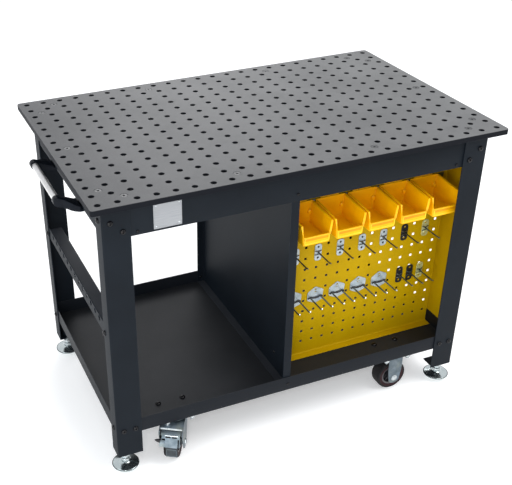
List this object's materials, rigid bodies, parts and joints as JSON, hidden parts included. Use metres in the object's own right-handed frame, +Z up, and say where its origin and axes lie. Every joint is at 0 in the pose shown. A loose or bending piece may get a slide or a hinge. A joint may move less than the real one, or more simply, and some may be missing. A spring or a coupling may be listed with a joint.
{
  "type": "welding table",
  "caption": "Rolling welding and fixture table: perforated steel top on a folded frame with shelf, pegboard storage bay, hanging bins, push handle, feet and casters.",
  "frame": {"origin": "on the floor, under the middle of the whole footprint, from the far edge of the handle to the other end of the top", "axes": "+X along the long side towards the yellow side panel and away from the handle, +Y from the front to the back, +Z up"},
  "size_m": [1.2506, 0.762, 0.9],
  "materials": {
    "plate_steel": "dark grey ground and oiled steel plate",
    "black_powder": "textured blue-black powder coat",
    "yellow_powder": "golden yellow powder coat",
    "zinc": "bright zinc plating",
    "chrome_tube": "polished chrome plating",
    "black_plastic": "moulded black plastic",
    "caster_tread": "dark maroon polyurethane",
    "bin_plastic": "satin orange-yellow plastic",
    "clear_plastic": "translucent greenish plastic"
  },
  "bodies": {
    "frame": {"table_top": "plate_steel", "leg_front_left": "black_powder", "leg_front_right": "black_powder", "leg_rear_left": "black_powder", "leg_rear_right": "black_powder", "apron_front": "black_powder", "apron_rear": "black_powder", "apron_left": "black_powder", "apron_right": "black_powder", "bottom_shelf": "black_powder", "divider_panel": "black_powder", "side_rail": "black_powder", "pegboard": "yellow_powder", "side_panel": "yellow_powder", "handle_bar": "chrome_tube", "handle_bracket_front": "black_plastic", "handle_bracket_rear": "black_plastic", "handle_spine": "black_plastic", "swivel_plate_front": "zinc", "rigid_fork_front": "zinc", "swivel_plate_rear": "zinc", "rigid_fork_rear": "zinc", "bin_rail": "zinc", "hook_upper_1": "zinc", "hook_upper_2": "zinc", "hook_upper_3": "zinc", "hook_upper_4": "zinc", "hook_upper_5": "zinc", "hook_upper_6": "black_plastic", "hook_upper_7": "clear_plastic", "hook_double_1": "zinc", "hook_double_2": "zinc", "hook_double_3": "zinc", "hook_double_4": "zinc", "hook_double_5": "zinc", "hook_lower_1": "black_plastic", "hook_lower_2": "black_plastic", "hook_lower_3": "clear_plastic"},
    "foot_front_left": {"foot_pad_front_left": "zinc"},
    "stud_front_left": {"foot_stem_front_left": "zinc"},
    "foot_front_right": {"foot_pad_front_right": "zinc"},
    "stud_front_right": {"foot_stem_front_right": "zinc"},
    "foot_rear_left": {"foot_pad_rear_left": "zinc"},
    "stud_rear_left": {"foot_stem_rear_left": "zinc"},
    "foot_rear_right": {"foot_pad_rear_right": "zinc"},
    "stud_rear_right": {"foot_stem_rear_right": "zinc"},
    "swivel_front": {"swivel_fork_front": "zinc"},
    "wheel_swivel_front": {"swivel_wheel_front": "caster_tread"},
    "pedal_front": {"brake_pedal_front": "zinc"},
    "wheel_rigid_front": {"rigid_wheel_front": "caster_tread"},
    "swivel_rear": {"swivel_fork_rear": "zinc"},
    "wheel_swivel_rear": {"swivel_wheel_rear": "caster_tread"},
    "pedal_rear": {"brake_pedal_rear": "zinc"},
    "wheel_rigid_rear": {"rigid_wheel_rear": "caster_tread"},
    "hanging_bin_1": {"bin_1": "bin_plastic"},
    "hanging_bin_2": {"bin_2": "bin_plastic"},
    "hanging_bin_3": {"bin_3": "bin_plastic"},
    "hanging_bin_4": {"bin_4": "bin_plastic"},
    "hanging_bin_5": {"bin_5": "bin_plastic"}
  },
  "joints": [
    {"name": "caster_swivel_front", "type": "hinge", "parent": "frame", "child": "swivel_front", "pos_m": [-0.3593, -0.285, 0.12], "axis": [0, 0, 1], "continuous": true},
    {"name": "wheel_spin_swivel_front", "type": "hinge", "parent": "swivel_front", "child": "wheel_swivel_front", "pos_m": [-0.37785, -0.31468, 0.0508], "axis": [0.848, -0.5299, 0], "continuous": true},
    {"name": "brake_press_front", "type": "hinge", "parent": "swivel_front", "child": "pedal_front", "pos_m": [-0.37785, -0.31468, 0.0508], "axis": [0.848, -0.5299, 0], "range_deg": [0, 14]},
    {"name": "wheel_spin_rigid_front", "type": "hinge", "parent": "frame", "child": "wheel_rigid_front", "pos_m": [0.3907, -0.285, 0.0508], "axis": [0, 1, 0], "continuous": true},
    {"name": "caster_swivel_rear", "type": "hinge", "parent": "frame", "child": "swivel_rear", "pos_m": [-0.3593, 0.285, 0.12], "axis": [0, 0, 1], "continuous": true},
    {"name": "wheel_spin_swivel_rear", "type": "hinge", "parent": "swivel_rear", "child": "wheel_swivel_rear", "pos_m": [-0.39175, 0.29811, 0.0508], "axis": [-0.3746, -0.9272, 0], "continuous": true},
    {"name": "brake_press_rear", "type": "hinge", "parent": "swivel_rear", "child": "pedal_rear", "pos_m": [-0.39175, 0.29811, 0.0508], "axis": [-0.3746, -0.9272, 0], "range_deg": [0, 14]},
    {"name": "wheel_spin_rigid_rear", "type": "hinge", "parent": "frame", "child": "wheel_rigid_rear", "pos_m": [0.3907, 0.285, 0.0508], "axis": [0, 1, 0], "continuous": true},
    {"name": "foot_height_front_left", "type": "slide", "parent": "frame", "child": "foot_front_left", "axis": [0, 0, 1], "range_m": [-0.012, 0.01]},
    {"name": "stud_turn_front_left", "type": "hinge", "parent": "foot_front_left", "child": "stud_front_left", "pos_m": [-0.5303, -0.313, 0.06], "axis": [0, 0, 1], "range_deg": [-2161, 1801]},
    {"name": "foot_height_front_right", "type": "slide", "parent": "frame", "child": "foot_front_right", "axis": [0, 0, 1], "range_m": [-0.012, 0.01]},
    {"name": "stud_turn_front_right", "type": "hinge", "parent": "foot_front_right", "child": "stud_front_right", "pos_m": [0.5617, -0.313, 0.06], "axis": [0, 0, 1], "range_deg": [-2161, 1801]},
    {"name": "foot_height_rear_left", "type": "slide", "parent": "frame", "child": "foot_rear_left", "axis": [0, 0, 1], "range_m": [-0.012, 0.01]},
    {"name": "stud_turn_rear_left", "type": "hinge", "parent": "foot_rear_left", "child": "stud_rear_left", "pos_m": [-0.5303, 0.313, 0.06], "axis": [0, 0, 1], "range_deg": [-2161, 1801]},
    {"name": "foot_height_rear_right", "type": "slide", "parent": "frame", "child": "foot_rear_right", "axis": [0, 0, 1], "range_m": [-0.012, 0.01]},
    {"name": "stud_turn_rear_right", "type": "hinge", "parent": "foot_rear_right", "child": "stud_rear_right", "pos_m": [0.5617, 0.313, 0.06], "axis": [0, 0, 1], "range_deg": [-2161, 1801]},
    {"name": "bin_lift_1", "type": "slide", "parent": "frame", "child": "hanging_bin_1", "axis": [0, 0, 1], "range_m": [0, 0.02]},
    {"name": "bin_lift_2", "type": "slide", "parent": "frame", "child": "hanging_bin_2", "axis": [0, 0, 1], "range_m": [0, 0.02]},
    {"name": "bin_lift_3", "type": "slide", "parent": "frame", "child": "hanging_bin_3", "axis": [0, 0, 1], "range_m": [0, 0.02]},
    {"name": "bin_lift_4", "type": "slide", "parent": "frame", "child": "hanging_bin_4", "axis": [0, 0, 1], "range_m": [0, 0.02]},
    {"name": "bin_lift_5", "type": "slide", "parent": "frame", "child": "hanging_bin_5", "axis": [0, 0, 1], "range_m": [0, 0.02]}
  ],
  "couplings": [
    {"joint": "stud_turn_front_left", "follows": "foot_height_front_left", "rad_per_m": 3141.6},
    {"joint": "stud_turn_front_right", "follows": "foot_height_front_right", "rad_per_m": 3141.6},
    {"joint": "stud_turn_rear_left", "follows": "foot_height_rear_left", "rad_per_m": 3141.6},
    {"joint": "stud_turn_rear_right", "follows": "foot_height_rear_right", "rad_per_m": 3141.6}
  ]
}
